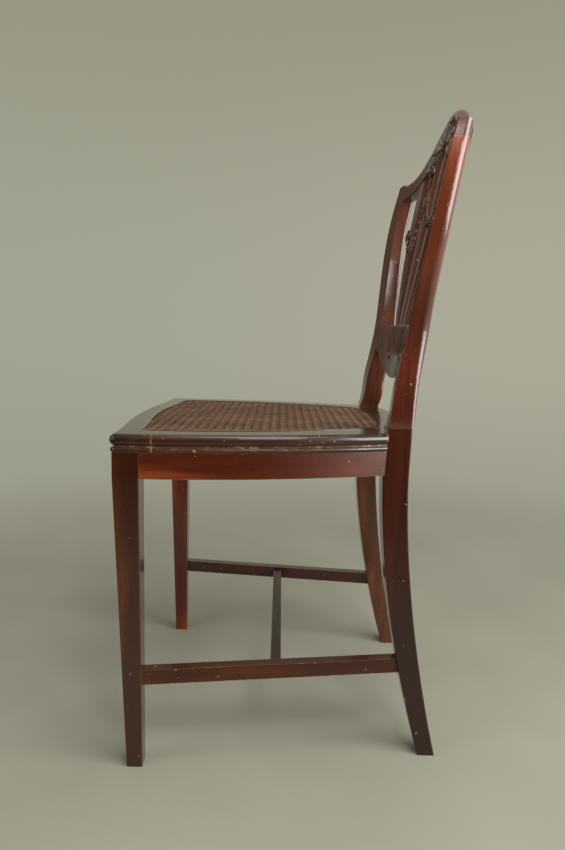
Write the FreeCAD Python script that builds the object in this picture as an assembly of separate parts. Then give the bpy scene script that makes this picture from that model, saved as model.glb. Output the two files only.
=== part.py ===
import FreeCAD, Part
import math
import os

# Shield back side chair: stained wood, caned seat, H stretcher. All sizes in millimetres.
# The chair faces -Y and stands on Z = 0. "Left" is the sitter's left, on the +X side.

# Seat
seat_height = 470.0
torus_height = 15.3
quirk_height = 1.5
bead_height = 7.2
quirk_inset = 4.5
bead_inset = 0.6
moulding_flat = 0.4
seat_front_half_width = 250.0
seat_back_half_width = 184.0
seat_front_corner_depth = 219.5
seat_front_bow = 12.5
seat_back_corner_depth = 176.0
seat_back_bow = 19.0
seat_side_bow = 20.0
front_corner_radius = 8.0

# Seat frame members and the caned opening
front_member_width = 30.0
side_member_width = 42.0
back_member_width = 38.0
front_joint_depth = 164.5
opening_front_radius = 22.0
opening_back_radius = 42.0
groove_width = 4.0
groove_depth = 5.0
ledge_width = 9.0
cane_thickness = 1.6
cane_pitch = 22.0
cane_hole = 11.0
spline_crown = 0.6

# Rails under the seat frame
rail_height = 34.0
rail_thickness = 22.0
rail_front_inset = 3.0
rail_back_inset = 3.0
tenon_thickness = 8.0
tenon_length = 17.0
tenon_shoulder = 5.0
tenon_offset = 1.0
back_tenon_share = 0.68

# Front legs
leg_top_size = 35.0
leg_foot_size = 22.0
leg_outer_taper = 16.0
leg_front_taper = 12.5
edge_radius = 1.8

# Rear posts, each one piece of wood from the floor to the top of the shield
post_width = 34.0
post_depth = 36.5
post_front_depth = 143.0
post_outer_half_width = 181.0
post_block_lean = 4.0
foot_kick = 65.5
kick_power = 1.8
foot_splay = 11.0
foot_width = 24.0
foot_depth = 24.5
block_below_rail = 6.0
block_above_seat = 6.0
stile_width = 30.0
stile_depth_rise = (6.0, 100.0, 190.0, 290.0, 420.0)
stile_depth = (34.5, 32.0, 26.5, 23.5, 21.5)
stile_inner_radius = 3.6
stile_back_radius = 12.0

# The shield, in front view and from the side. Heights are above the seat.
shield_rise = (6.0, 75.0, 130.0, 190.0, 250.0, 310.0, 365.0, 425.0, 477.0)
shield_half = (181.0, 173.0, 170.0, 183.0, 203.0, 216.0, 216.0, 205.0, 196.0)
shield_lean = (4.0, 14.5, 25.0, 33.5, 41.0, 49.5, 60.0, 74.0, 84.5)
shield_hollow = 28.0
hollow_chord = 200.0
ear_joint_rise = 382.0
ear_top_rise = 407.5
ear_radius = 14.0
ear_back_radius = 10.0
ear_front_radius = 8.0
crest_hump = 69.5
crest_power = 1.43
crest_half_span = 200.0
crest_end_height = 30.0
crest_middle_height = 44.0
crest_swell_share = 0.8
crest_overlap = 3.0
crest_thickness = 22.0
crest_edge_radius = 10.0

# Shield base and the five ribs
base_bottom_rise = 65.0
base_curve_rise = 40.0
base_top_rise = 150.0
base_half_width = 128.0
base_thickness = 21.0
rib_rise = (146.0, 196.0, 261.0, 317.0, 368.0, 420.0)
rib_reach = (51.0, 74.0, 98.0, 107.5, 110.5, 112.0)
rib_width = 17.0
rib_thickness = 13.0
rib_setback = 3.0
rib_tenon = 9.0
rib_tenon_width = 10.0
rib_tenon_thickness = 6.0
reed_relief = 1.6
reed_slope = 0.28
reed_count = 3
rib_shares = {"rib_outer_right": -1.0, "rib_inner_right": -0.5, "rib_centre": 0.0,
              "rib_inner_left": 0.5, "rib_outer_left": 1.0}

# Stretchers
stretcher_top = 143.0
stretcher_height = 21.0
stretcher_thickness = 16.0
stretcher_inset = 4.0
medial_thickness = 15.0
medial_drop = 2.0
stretcher_tenon_thickness = 8.0
stretcher_tenon_length = 12.0
stretcher_tenon_shoulder = 4.0

# Corner blocks, screws and dowels
block_height = 26.0
block_leg = 78.0
block_tip = 4.0
back_block_reach = 11.0
screw_shank = 4.0
screw_head = 8.0
screw_head_height = 3.0
screw_pocket = 26.0
block_screw_length = 40.0
block_screw_bite = 12.0
block_screw_share = 0.62
frame_screw_length = 40.0
front_frame_screw_share = 0.24
back_frame_screw_share = 0.45
dowel_diameter = 6.0
dowel_length = 20.0
back_dowels_ahead = (19.2, 7.2)

# Clearances
glue_gap = 0.1
curved_gap = 0.3
hole_gap = 0.1
mortise_room = 0.5

# Sections in each loft
leg_steps = 5
stile_steps = 9
slab_steps = 3
crest_steps = 10
rib_steps = 7

# How far a cutting shape runs past the face it cuts, and how close two places are to be one
past = 1.0
same_place = 0.01

Vec = FreeCAD.Vector
UP = Vec(0, 0, 1)
frame_thickness = torus_height + quirk_height + bead_height
frame_bottom = seat_height - frame_thickness
rail_bottom = frame_bottom - rail_height
block_bottom = rail_bottom - block_below_rail
block_top = seat_height + block_above_seat
leg_outer = seat_front_half_width - rail_front_inset
leg_front = -seat_front_corner_depth + rail_front_inset
stile_blank_top = seat_height + ear_top_rise + past


def box(x0, x1, y0, y1, z0, z1):
    """A block between two corners."""
    return Part.makeBox(x1 - x0, y1 - y0, z1 - z0, Vec(x0, y0, z0))


def mirrored(shape):
    """The same piece on the other side of the chair."""
    return shape.mirror(Vec(0, 0, 0), Vec(1, 0, 0))


def smooth(stations, values, at):
    """A smooth curve through a few stations, straight on past its ends."""
    last = len(stations) - 1
    slopes = []
    for i in range(last + 1):
        a = max(i - 1, 0)
        b = min(i + 1, last)
        slopes.append((values[b] - values[a]) / (stations[b] - stations[a]))
    if at <= stations[0]:
        return values[0] + slopes[0] * (at - stations[0])
    if at >= stations[last]:
        return values[last] + slopes[last] * (at - stations[last])
    i = max(k for k in range(last) if stations[k] <= at)
    step = stations[i + 1] - stations[i]
    t = (at - stations[i]) / step
    rest = 1 - t
    ends = values[i] * rest * rest * (1 + 2 * t) + values[i + 1] * t * t * (3 - 2 * t)
    return ends + step * (slopes[i] * t * rest * rest - slopes[i + 1] * t * t * rest)


def rounded_wire(corners, radii):
    """A closed wire through the corners, each rounded by an arc of its own radius."""
    count = len(corners)
    starts = []
    edges = []
    for i in range(count):
        here = corners[i]
        before = (corners[i - 1] - here).normalize()
        after = (corners[(i + 1) % count] - here).normalize()
        half = before.getAngle(after) / 2
        reach = radii[i] / math.tan(half)
        middle = (before + after).normalize() * (radii[i] / math.sin(half) - radii[i])
        starts.append((here + before * reach, here + middle, here + after * reach))
    for i in range(count):
        first, middle, last = starts[i]
        edges.append(Part.Arc(first, middle, last).toShape())
        edges.append(Part.LineSegment(last, starts[(i + 1) % count][0]).toShape())
    return Part.Wire(edges)


def arc(a, b, c):
    """An arc through three points."""
    return Part.Arc(a, b, c).toShape()


def line(a, b):
    """A straight edge."""
    return Part.LineSegment(a, b).toShape()


def polygon_face(points):
    """A flat face with straight sides."""
    return Part.Face(Part.makePolygon(points + [points[0]]))


def prism(face, bottom, height):
    """A flat face stood up between two heights."""
    return face.translated(Vec(0, 0, bottom)).extrude(Vec(0, 0, height))


# Seat outline

def serpentine(half, front):
    """The front edge: a convex arc in the middle that runs into a concave one at each end."""
    bow = seat_front_bow / 2
    radius = ((half / 2) ** 2 + bow ** 2) / seat_front_bow
    slope = math.atan2(bow, half / 2)
    reach = radius * math.sin(slope)
    sag = radius * (1 - math.cos(slope))
    end_left = Vec(half, front, 0)
    turn_left = Vec(half / 2, front - bow, 0)
    bend_left = Vec(half - reach, front - sag, 0)
    middle = Vec(0, front - seat_front_bow, 0)
    end_right = Vec(-half, front, 0)
    turn_right = Vec(-half / 2, front - bow, 0)
    bend_right = Vec(reach - half, front - sag, 0)
    return [arc(end_right, bend_right, turn_right), arc(turn_right, middle, turn_left),
            arc(turn_left, bend_left, end_left)]


def seat_face(front, side_front, side_back, back):
    """The seat's plan outline, drawn in by its own inset on each edge."""
    half = seat_front_half_width - side_front
    back_half = seat_back_half_width - side_back
    front_corner = -seat_front_corner_depth + front
    back_corner = seat_back_corner_depth - back
    side_middle = Vec((half + back_half) / 2 + seat_side_bow, (front_corner + back_corner) / 2, 0)
    back_middle = Vec(0, back_corner + seat_back_bow, 0)
    right_side = Vec(-side_middle.x, side_middle.y, 0)
    front_left = Vec(half, front_corner, 0)
    back_left = Vec(back_half, back_corner, 0)
    front_right = Vec(-half, front_corner, 0)
    back_right = Vec(-back_half, back_corner, 0)
    edges = serpentine(half, front_corner)
    edges += [arc(front_left, side_middle, back_left), arc(back_left, back_middle, back_right),
              arc(back_right, right_side, front_right)]
    return Part.Face(Part.Wire(edges))


def upright_edges(solid, front):
    """The upright edges at the solid's front corners, or at its back corners."""
    found = []
    for edge in solid.Edges:
        a, b = edge.firstVertex().Point, edge.lastVertex().Point
        upright = max(abs(a.x - b.x), abs(a.y - b.y)) < same_place
        seam = front and abs(a.x) < seat_front_half_width / 2 + past
        if upright and (a.y < 0) == front and not seam:
            found.append(edge)
    return found


def seat_layer(inset, bottom, height, round_over):
    """One layer of the moulded seat edge, with its rim rounded over except along the back."""
    layer = prism(seat_face(inset, inset, inset, inset), bottom, height)
    layer = layer.makeFillet(front_corner_radius, upright_edges(layer, True))
    if round_over == 0:
        return layer
    rim = []
    for edge in layer.Edges:
        middle = edge.valueAt((edge.FirstParameter + edge.LastParameter) / 2)
        level = abs(edge.BoundBox.ZLength) < same_place
        if level and middle.y < seat_back_corner_depth - past:
            rim.append(edge)
    return layer.makeFillet(round_over, rim)


def opening_prism(extra, bottom, height):
    """The caned opening, grown or shrunk by extra, as an upright prism."""
    face = seat_face(front_member_width - extra, side_member_width - extra,
                     side_member_width - extra, back_member_width - extra)
    solid = prism(face, bottom, height)
    solid = solid.makeFillet(opening_front_radius + extra, upright_edges(solid, True))
    return solid.makeFillet(opening_back_radius + extra, upright_edges(solid, False))


def whole_seat_frame():
    """The four members before they are sawn apart, with moulded edge, groove and ledge."""
    torus = seat_layer(0, seat_height - torus_height, torus_height, (torus_height - moulding_flat) / 2)
    quirk_bottom = frame_bottom + bead_height - past
    quirk = seat_layer(quirk_inset, quirk_bottom, quirk_height + 2 * past, 0)
    bead = seat_layer(bead_inset, frame_bottom, bead_height, (bead_height - moulding_flat) / 2)
    frame = torus.fuse(quirk).fuse(bead)
    groove_floor = seat_height - groove_depth
    groove = opening_prism(0, groove_floor, groove_depth + past)
    kept = opening_prism(-groove_width, groove_floor, groove_depth + past)
    rebate = opening_prism(-groove_width, seat_height - cane_thickness, cane_thickness + past)
    inside = -groove_width - ledge_width
    opening = opening_prism(inside, frame_bottom - past, frame_thickness + 2 * past)
    return frame.cut(groove.cut(kept)).cut(rebate).cut(opening)


def behind_post(bottom, top):
    """The space behind the post's leaning front face, on the left side."""
    far = seat_front_half_width * 2
    corners = [Vec(0, block_front(bottom), bottom), Vec(0, block_front(top), top),
               Vec(0, far, top), Vec(0, far, bottom)]
    return polygon_face(corners).extrude(Vec(far, 0, 0))


def post_notch():
    """The corner of the seat frame that the left post stands in, open to the back."""
    space = behind_post(frame_bottom - past, seat_height + past)
    return space.translated(Vec(post_outer_half_width - post_width, 0, 0))


def seat_frame_members():
    """Front, back and two side members, butted and dowelled."""
    frame = whole_seat_frame().cut(post_notch()).cut(mirrored(post_notch()))
    frame = frame.cut(dowel_solids(hole_gap)).cut(frame_screw_solids(hole_gap))
    far = seat_front_half_width * 2
    inner = post_outer_half_width - post_width
    low = frame_bottom - past
    high = seat_height + past
    front_zone = box(-far, far, -far, -front_joint_depth, low, high)
    back_zone = box(-inner, inner, 0, far, low, high)
    sides = frame.cut(front_zone).cut(back_zone)
    return {
        "seat_frame_front": frame.common(front_zone),
        "seat_frame_back": frame.common(back_zone),
        "seat_frame_left": sides.common(box(0, far, -far, far, low, high)),
        "seat_frame_right": sides.common(box(-far, 0, -far, far, low, high)),
    }


def dowel_solids(grow):
    """Two dowels across each of the four joints in the seat frame."""
    middle = (frame_bottom + seat_height - groove_depth) / 2
    radius = dowel_diameter / 2 + grow
    length = dowel_length + 2 * grow
    front_x = seat_front_half_width - side_member_width / 2
    back_x = post_outer_half_width - post_width - length / 2
    left = []
    for offset in (-dowel_diameter, dowel_diameter):
        start = Vec(front_x + offset, -front_joint_depth - length / 2, middle)
        left.append(Part.makeCylinder(radius, length, start, Vec(0, 1, 0)))
    for ahead in back_dowels_ahead:
        start = Vec(back_x, post_front_depth - ahead, middle)
        left.append(Part.makeCylinder(radius, length, start, Vec(1, 0, 0)))
    return both_sides(left)


# Cane and its spline

def cane_panel():
    """The caned sheet on its ledge, with a square grid of holes."""
    bottom = seat_height - cane_thickness
    panel = opening_prism(-groove_width - curved_gap, bottom, cane_thickness)
    field = opening_prism(-groove_width - ledge_width, bottom, cane_thickness)
    count = int(seat_front_half_width / cane_pitch) + 1
    reach = cane_hole / 2
    holes = []
    for column in range(-count, count + 1):
        for row in range(-count, count + 1):
            x = column * cane_pitch
            y = row * cane_pitch
            corners = [Vec(x + a, y + b, seat_height) for a in (-reach, reach) for b in (-reach, reach)]
            if all(field.isInside(corner, same_place, True) for corner in corners):
                holes.append(box(x - reach, x + reach, y - reach, y + reach,
                                 bottom - past, seat_height + past))
    return panel.cut(Part.makeCompound(holes))


def cane_spline():
    """The reed wedged in the groove round the cane, standing slightly proud."""
    floor = seat_height - groove_depth
    height = groove_depth + spline_crown
    outer = opening_prism(-curved_gap, floor, height)
    inner = opening_prism(-groove_width + curved_gap, floor - past, height + 2 * past)
    return outer.cut(inner)


# Front legs and rails

def leg_section(z, outer, front, size):
    corners = [Vec(outer, front, z), Vec(outer - size, front, z),
               Vec(outer - size, front + size, z), Vec(outer, front + size, z)]
    return rounded_wire(corners, [edge_radius] * 4)


def front_leg_blank():
    """A square block beside the rails, then a taper down to the foot."""
    top = leg_section(frame_bottom, leg_outer, leg_front, leg_top_size)
    knee = leg_section(rail_bottom, leg_outer, leg_front, leg_top_size)
    foot = leg_section(0, leg_outer - leg_outer_taper, leg_front + leg_front_taper, leg_foot_size)
    block = Part.makeLoft([knee, top], True, True)
    taper = Part.makeLoft([foot, knee], True, True)
    return block.fuse(taper)


def leg_outer_at(z):
    """Where the front leg's outer face lies at a height."""
    share = max(0.0, (rail_bottom - z) / rail_bottom)
    return leg_outer - leg_outer_taper * share


def leg_back_at(z):
    """Where the front leg's back face lies at a height."""
    share = max(0.0, (rail_bottom - z) / rail_bottom)
    size = leg_top_size + (leg_foot_size - leg_top_size) * share
    return leg_front + leg_front_taper * share + size


def rail_face(inside):
    """The rails' outline in plan, drawn in by inside from their outer faces."""
    back = seat_back_half_width - post_outer_half_width + rail_back_inset
    return seat_face(rail_front_inset + inside, rail_front_inset + inside,
                     rail_back_inset + inside, back + inside)


def rail_ring():
    """The curved rails before they are cut to length between legs and posts."""
    outer = prism(rail_face(0), rail_bottom, rail_height)
    return outer.cut(prism(rail_face(rail_thickness), rail_bottom - past, rail_height + 2 * past))


def rail_tenon(x0, x1, y0, y1, grow):
    """A tenon as high as the rails less a shoulder above and below."""
    return box(x0, x1, y0, y1, rail_bottom + tenon_shoulder - grow, frame_bottom - tenon_shoulder + grow)


def front_rail_tenon(grow, room):
    """The front rail's tenon in the left front leg."""
    middle = leg_front + rail_thickness / 2 + tenon_offset
    start = leg_outer - leg_top_size
    half = tenon_thickness / 2 + grow
    return rail_tenon(start - past, start + tenon_length + room, middle - half, middle + half, grow)


def side_rail_front_tenon(grow, room):
    """The side rail's tenon in the left front leg."""
    middle = leg_outer - rail_thickness / 2 - tenon_offset
    start = leg_front + leg_top_size
    half = tenon_thickness / 2 + grow
    return rail_tenon(middle - half, middle + half, start - tenon_length - room, start + past, grow)


def side_rail_back_tenon(grow, room):
    """The side rail's tenon in the left rear post."""
    middle = post_outer_half_width - rail_thickness / 2
    start = block_front(rail_bottom)
    half = tenon_thickness / 2 + grow
    return rail_tenon(middle - half, middle + half, start - past, start + tenon_length + room, grow)


def back_rail_tenon(grow, room):
    """The back rail's tenon in the left rear post."""
    start = post_outer_half_width - post_width
    middle = post_front_depth + post_depth * back_tenon_share
    half = tenon_thickness / 2 + grow
    return rail_tenon(start - past, start + tenon_length + room, middle - half, middle + half, grow)


def rails():
    """Front, back and side rails, each with its tenons."""
    ring = rail_ring()
    far = seat_front_half_width * 2
    low = rail_bottom - past
    high = frame_bottom + past
    leg_inner = leg_outer - leg_top_size
    leg_back = leg_front + leg_top_size
    post_inner = post_outer_half_width - post_width
    front = ring.common(box(-leg_inner, leg_inner, -far, leg_back, low, high))
    back = ring.common(box(-post_inner, post_inner, 0, far, low, high))
    side = ring.common(box(0, far, leg_back, far, low, high)).cut(behind_post(low, high))
    front = front.fuse(front_rail_tenon(0, 0)).fuse(mirrored(front_rail_tenon(0, 0)))
    back = back.fuse(back_rail_tenon(0, 0)).fuse(mirrored(back_rail_tenon(0, 0)))
    side = side.fuse(side_rail_front_tenon(0, 0)).fuse(side_rail_back_tenon(0, 0))
    holes = block_screw_solids(hole_gap)
    side = side.cut(holes)
    return {"front_rail": front.cut(holes), "back_rail": back.cut(holes),
            "side_rail_left": side, "side_rail_right": mirrored(side)}





# Rear posts

def block_front(z):
    """The post's front face where the seat meets it: straight, with a slight lean."""
    return post_front_depth + post_block_lean * (z - block_bottom) / (block_top - block_bottom)


def kick(z):
    """How far the rear leg has swept back at a height below the seat, as a share of its kick."""
    return ((block_bottom - z) / block_bottom) ** kick_power


def shield_front(z):
    """The front face of the shield's outer edge at a height."""
    return post_front_depth + smooth(shield_rise, shield_lean, z - seat_height)


def shield_edge(z):
    """Half the shield's width at a height."""
    return smooth(shield_rise, shield_half, z - seat_height)


def hollow(x, z):
    """How much further back the curved shield lies at x than at its outer edge."""
    return shield_hollow * (shield_edge(z) ** 2 - x ** 2) / hollow_chord ** 2


def back_face(x, z):
    """The depth of the shield's curved front face."""
    return shield_front(z) + hollow(x, z)


def post_wire(z, outer, width, front, depth, turn, back_radius):
    """A horizontal section of the left post: outer front corner first, rounded at the back."""
    corners = [Vec(outer, front, z), Vec(outer - width, front + turn, z),
               Vec(outer - width, front + turn + depth, z), Vec(outer, front + depth, z)]
    inner_radius = min(back_radius, stile_inner_radius)
    return rounded_wire(corners, [edge_radius, edge_radius, inner_radius, back_radius])


def leg_station(z):
    """A section of the rear leg below the seat."""
    share = kick(z)
    return post_wire(z, post_outer_half_width + foot_splay * share,
                     post_width + (foot_width - post_width) * share,
                     post_front_depth + foot_kick * share,
                     post_depth + (foot_depth - post_depth) * share, 0, edge_radius)


def stile_station(z):
    """A section of the stile above the seat, turned to follow the curve of the shield."""
    share = min(1.0, (z - block_top) / (shield_rise[2] + seat_height - block_top))
    width = post_width + (stile_width - post_width) * share
    depth = smooth(stile_depth_rise, stile_depth, z - seat_height)
    outer = shield_edge(z)
    turn = hollow(outer - width, z) * share
    radius = edge_radius + (stile_back_radius - edge_radius) * share
    return post_wire(z, outer, width, shield_front(z), depth, turn, radius)


def stile_blank():
    """The stile from the seat block up past the ear."""
    heights = [block_top + (stile_blank_top - block_top) * i / stile_steps for i in range(stile_steps + 1)]
    return Part.makeLoft([stile_station(z) for z in heights], True, False)


def seat_block():
    """The straight stretch of the post that the rails and the seat frame join."""
    return Part.makeLoft([leg_station(block_bottom), stile_station(block_top)], True, True)


def rear_leg():
    """The swept rear leg below the seat."""
    heights = [block_bottom * i / leg_steps for i in range(leg_steps + 1)]
    return Part.makeLoft([leg_station(z) for z in heights], True, False)


def base_lug():
    """The shoulder on the stile that the shield's base is glued to."""
    board = curved_board(base_outline(shield_half[2]), base_thickness)
    far = seat_front_half_width * 2
    zone = box(base_half_width, shield_half[2] - stile_width / 2, 0, far, seat_height, seat_height + far)
    return board.common(zone)


def above(height):
    """All space above a height."""
    far = seat_front_half_width * 2
    return box(-far, far, -far, far, height, height + far)


def ear_joint():
    return seat_height + ear_joint_rise


# Curved boards of the shield

def slab_wire(z, thickness):
    """A level section of a board bent to the shield's curve."""
    half = hollow_chord
    side_front = back_face(half, z)
    middle_front = back_face(0, z)
    front_left = Vec(half, side_front, z)
    front_right = Vec(-half, side_front, z)
    back_left = Vec(half, side_front + thickness, z)
    back_right = Vec(-half, side_front + thickness, z)
    front = arc(front_right, Vec(0, middle_front, z), front_left)
    back = arc(back_left, Vec(0, middle_front + thickness, z), back_right)
    return Part.Wire([front, line(front_left, back_left), back, line(back_right, front_right)])


def curved_board(outline, thickness):
    """A board bent to the shield's curve and sawn to an outline drawn in front view."""
    low = outline.BoundBox.ZMin - past
    high = outline.BoundBox.ZMax + past
    heights = [low + (high - low) * i / slab_steps for i in range(slab_steps + 1)]
    slab = Part.makeLoft([slab_wire(z, thickness) for z in heights], True, False)
    return slab.common(outline.extrude(Vec(0, seat_front_half_width * 2, 0)))





def base_outline(half):
    """The shield's base in front view: a straight top and an arc below, out to half its width."""
    top = seat_height + base_top_rise
    bottom = seat_height + base_bottom_rise
    side = bottom + base_curve_rise * (half / base_half_width) ** 2
    low_left = Vec(half, 0, side)
    low_right = Vec(-half, 0, side)
    top_left = Vec(half, 0, top)
    top_right = Vec(-half, 0, top)
    edges = [arc(low_right, Vec(0, 0, bottom), low_left), line(low_left, top_left),
             line(top_left, top_right), line(top_right, low_right)]
    return Part.Face(Part.Wire(edges))


def crest_top(x):
    """The crest's serpentine top edge: a raised cosine, drawn in at its shoulders, between the ears."""
    share = min(1.0, abs(x) / crest_half_span)
    swell = (1 + math.cos(math.pi * share)) / 2
    return seat_height + ear_top_rise + crest_hump * swell ** crest_power


def crest_height(x):
    """The crest's height, deepest in the middle."""
    share = min(1.0, abs(x) / (crest_half_span * crest_swell_share))
    return crest_end_height + (crest_middle_height - crest_end_height) * math.cos(math.pi * share / 2) ** 2


def crest_wire(x, grow):
    """The crest's section at x, leaning with the shield."""
    high = crest_top(x)
    low = high - crest_height(x) - grow
    front_low = back_face(x, low) - grow
    front_high = back_face(x, high) - grow
    thick = crest_thickness + 2 * grow
    corners = [Vec(x, front_low, low), Vec(x, front_high, high),
               Vec(x, front_high + thick, high), Vec(x, front_low + thick, low)]
    return rounded_wire(corners, [edge_radius, crest_edge_radius, crest_edge_radius, edge_radius])


def crest_beam(grow):
    """The crest between the ears."""
    half = shield_edge(ear_joint()) - stile_width + crest_overlap
    places = [half * (2 * i / crest_steps - 1) for i in range(crest_steps + 1)]
    return Part.makeLoft([crest_wire(x, grow) for x in places], True, False)


def ear(stile):
    """The crest's end: the stile's section carried up to a top that is rounded both ways."""
    joint = ear_joint()
    top = seat_height + ear_top_rise
    inner = shield_edge(joint) - stile_width
    edge = shield_edge(top)
    far = seat_front_half_width * 2
    sides = [Vec(inner, 0, joint), Vec(edge * 2, 0, joint), Vec(edge, 0, top), Vec(inner, 0, top)]
    front_view = rounded_wire(sides, [past, past, ear_radius, stile_inner_radius])
    back = shield_front(top) + smooth(stile_depth_rise, stile_depth, ear_top_rise)
    depths = [Vec(0, shield_front(joint) - past, joint), Vec(0, back, joint),
              Vec(0, back, top), Vec(0, shield_front(top) - past, top)]
    side_view = rounded_wire(depths, [past, past, ear_back_radius, ear_front_radius])
    rounded = stile.common(Part.Face(front_view).extrude(Vec(0, far, 0)))
    return rounded.common(Part.Face(side_view).extrude(Vec(far, 0, 0)))


def crest_rail(stile):
    """The crest with both ears, mortised for the ribs."""
    left = ear(stile)
    crest = crest_beam(0).fuse(left).fuse(mirrored(left)).cut(below_joint())
    for share in rib_shares.values():
        crest = crest.cut(rib_top_tenon(share, glue_gap, mortise_room))
    return crest


def below_joint():
    """What lies under the ear joints, outside the ribs, where the stiles stand."""
    inner = shield_edge(ear_joint()) - stile_width - past
    left = box(inner, seat_front_half_width, 0, seat_front_half_width * 2, seat_height, ear_joint())
    return left.fuse(mirrored(left))


def shield_base():
    """The solid base of the shield, mortised for the ribs."""
    base = curved_board(base_outline(base_half_width - glue_gap), base_thickness)
    for share in rib_shares.values():
        base = base.cut(rib_bottom_tenon(share, glue_gap, mortise_room))
    return base


# Ribs

def rib_middle(share, z):
    """The middle of a rib at a height, as its share of the outermost rib's reach."""
    return share * smooth(rib_rise, rib_reach, z - seat_height)


def rib_wire(share, z):
    """A rib's level section: three bevelled reeds on the front, flat at the back."""
    left = rib_middle(share, z) + rib_width / 2
    reed = rib_width / reed_count
    front = []
    for i in range(reed_count):
        for along, relief in ((0, 0), (reed_slope, reed_relief), (1 - reed_slope, reed_relief)):
            x = left - reed * (i + along)
            front.append(Vec(x, back_face(x, z) + rib_setback - relief, z))
    right = left - rib_width
    front.append(Vec(right, back_face(right, z) + rib_setback, z))
    back_right = front[-1] + Vec(0, rib_thickness, 0)
    back_left = front[0] + Vec(0, rib_thickness, 0)
    return Part.makePolygon(front + [back_right, back_left, front[0]])


def tenon_wire(share, z, grow):
    """A plain section inside the rib's own, for its tenons."""
    middle = rib_middle(share, z)
    half = rib_tenon_width / 2 + grow
    front = back_face(middle, z) + rib_setback + (rib_thickness - rib_tenon_thickness) / 2 - grow
    thick = rib_tenon_thickness + 2 * grow
    corners = [Vec(middle - half, front, z), Vec(middle + half, front, z),
               Vec(middle + half, front + thick, z), Vec(middle - half, front + thick, z)]
    return Part.makePolygon(corners + [corners[0]])


def rib_top(share):
    """The height at which a rib meets the crest."""
    x = rib_middle(share, seat_height + rib_rise[-1])
    return crest_top(x) - crest_height(x)


def rib_top_tenon(share, grow, room):
    """The tenon at the top of a rib, with its root inside the rib."""
    low = rib_top(share)
    return Part.makeLoft([tenon_wire(share, low - rib_tenon, grow),
                          tenon_wire(share, low + rib_tenon + room, grow)], True, True)


def rib_bottom_tenon(share, grow, room):
    """The tenon at the foot of a rib, with its root inside the rib."""
    top = seat_height + base_top_rise
    return Part.makeLoft([tenon_wire(share, top - rib_tenon - room, grow),
                          tenon_wire(share, top + rib_tenon, grow)], True, True)


def rib(share):
    """One reeded rib between base and crest, with a tenon at each end."""
    low = seat_height + base_top_rise
    high = rib_top(share) + rib_tenon
    heights = [low + (high - low) * i / rib_steps for i in range(rib_steps + 1)]
    blank = Part.makeLoft([rib_wire(share, z) for z in heights], True, False)
    blank = blank.cut(crest_beam(curved_gap))
    body = max(blank.Solids, key=lambda solid: solid.Volume)
    return body.fuse(rib_top_tenon(share, 0, 0)).fuse(rib_bottom_tenon(share, 0, 0))


# Stretchers

def stretcher_line():
    """The left stretcher's outer face, from the front leg to the rear leg, seen from above."""
    middle = stretcher_top - stretcher_height / 2
    rear_share = kick(middle)
    front = Vec(leg_outer_at(middle) - stretcher_inset, leg_back_at(middle), 0)
    rear_x = post_outer_half_width + foot_splay * rear_share - stretcher_inset
    rear = Vec(rear_x, post_front_depth + foot_kick * rear_share, 0)
    return front, rear


def stretcher_bar(thickness, height, reach, grow):
    """A bar along the stretcher's line, centred in its thickness, longer by reach at each end."""
    front, rear = stretcher_line()
    along = (rear - front).normalize()
    outward = Vec(along.y, -along.x, 0)
    start = front - along * reach - outward * (stretcher_thickness / 2)
    end = rear + along * reach - outward * (stretcher_thickness / 2)
    half = outward * (thickness / 2 + grow)
    tall = height + 2 * grow
    face = polygon_face([start + half, start - half, end - half, end + half])
    return prism(face, stretcher_top - (stretcher_height + tall) / 2, tall)


def stretcher_tenons(grow, room):
    """The left stretcher's two tenons, as one bar."""
    height = stretcher_height - 2 * stretcher_tenon_shoulder
    return stretcher_bar(stretcher_tenon_thickness, height, stretcher_tenon_length + room, grow)


def side_stretcher(leg, post):
    """The left stretcher, shouldered against leg and post and tenoned into both."""
    bar = stretcher_bar(stretcher_thickness, stretcher_height, leg_foot_size / 2, 0)
    bar = bar.cut(leg).cut(post)
    bar = max(bar.Solids, key=lambda solid: solid.Volume)
    return bar.fuse(stretcher_tenons(0, 0)).cut(medial_tenon(hole_gap, mortise_room))


def medial_half_length():
    """From the middle of the chair to the side stretcher's inner face."""
    front, rear = stretcher_line()
    share = -front.y / (rear.y - front.y)
    along = (rear - front).normalize()
    return front.x + (rear.x - front.x) * share - stretcher_thickness / along.y


def medial_solid(thickness, height, half_length):
    """A level bar across the chair at the height of the cross stretcher."""
    middle = stretcher_top - medial_drop - stretcher_height / 2
    return box(-half_length, half_length, -thickness / 2, thickness / 2,
               middle - height / 2, middle + height / 2)


def medial_tenon(grow, room):
    """The cross stretcher's tenons, reaching half way through the side stretchers."""
    tall = stretcher_height - 2 * stretcher_tenon_shoulder - 2 * medial_drop
    reach = medial_half_length() + stretcher_thickness / 2 + room
    return medial_solid(stretcher_tenon_thickness + 2 * grow, tall + 2 * grow, reach)


def medial_stretcher():
    """The cross stretcher between the two side stretchers."""
    height = stretcher_height - 2 * medial_drop
    bar = medial_solid(medial_thickness, height, medial_half_length() + medial_thickness)
    side = stretcher_bar(stretcher_thickness, stretcher_height * 2, 0, 0)
    bar = bar.cut(side).cut(mirrored(side))
    bar = max(bar.Solids, key=lambda solid: solid.Volume)
    return bar.fuse(medial_tenon(0, 0))


# Corner blocks and screws

def both_sides(left):
    """Solids of the left side, and the same on the right."""
    left_side = Part.makeCompound(left)
    return Part.makeCompound([left_side, mirrored(left_side)])


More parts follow.
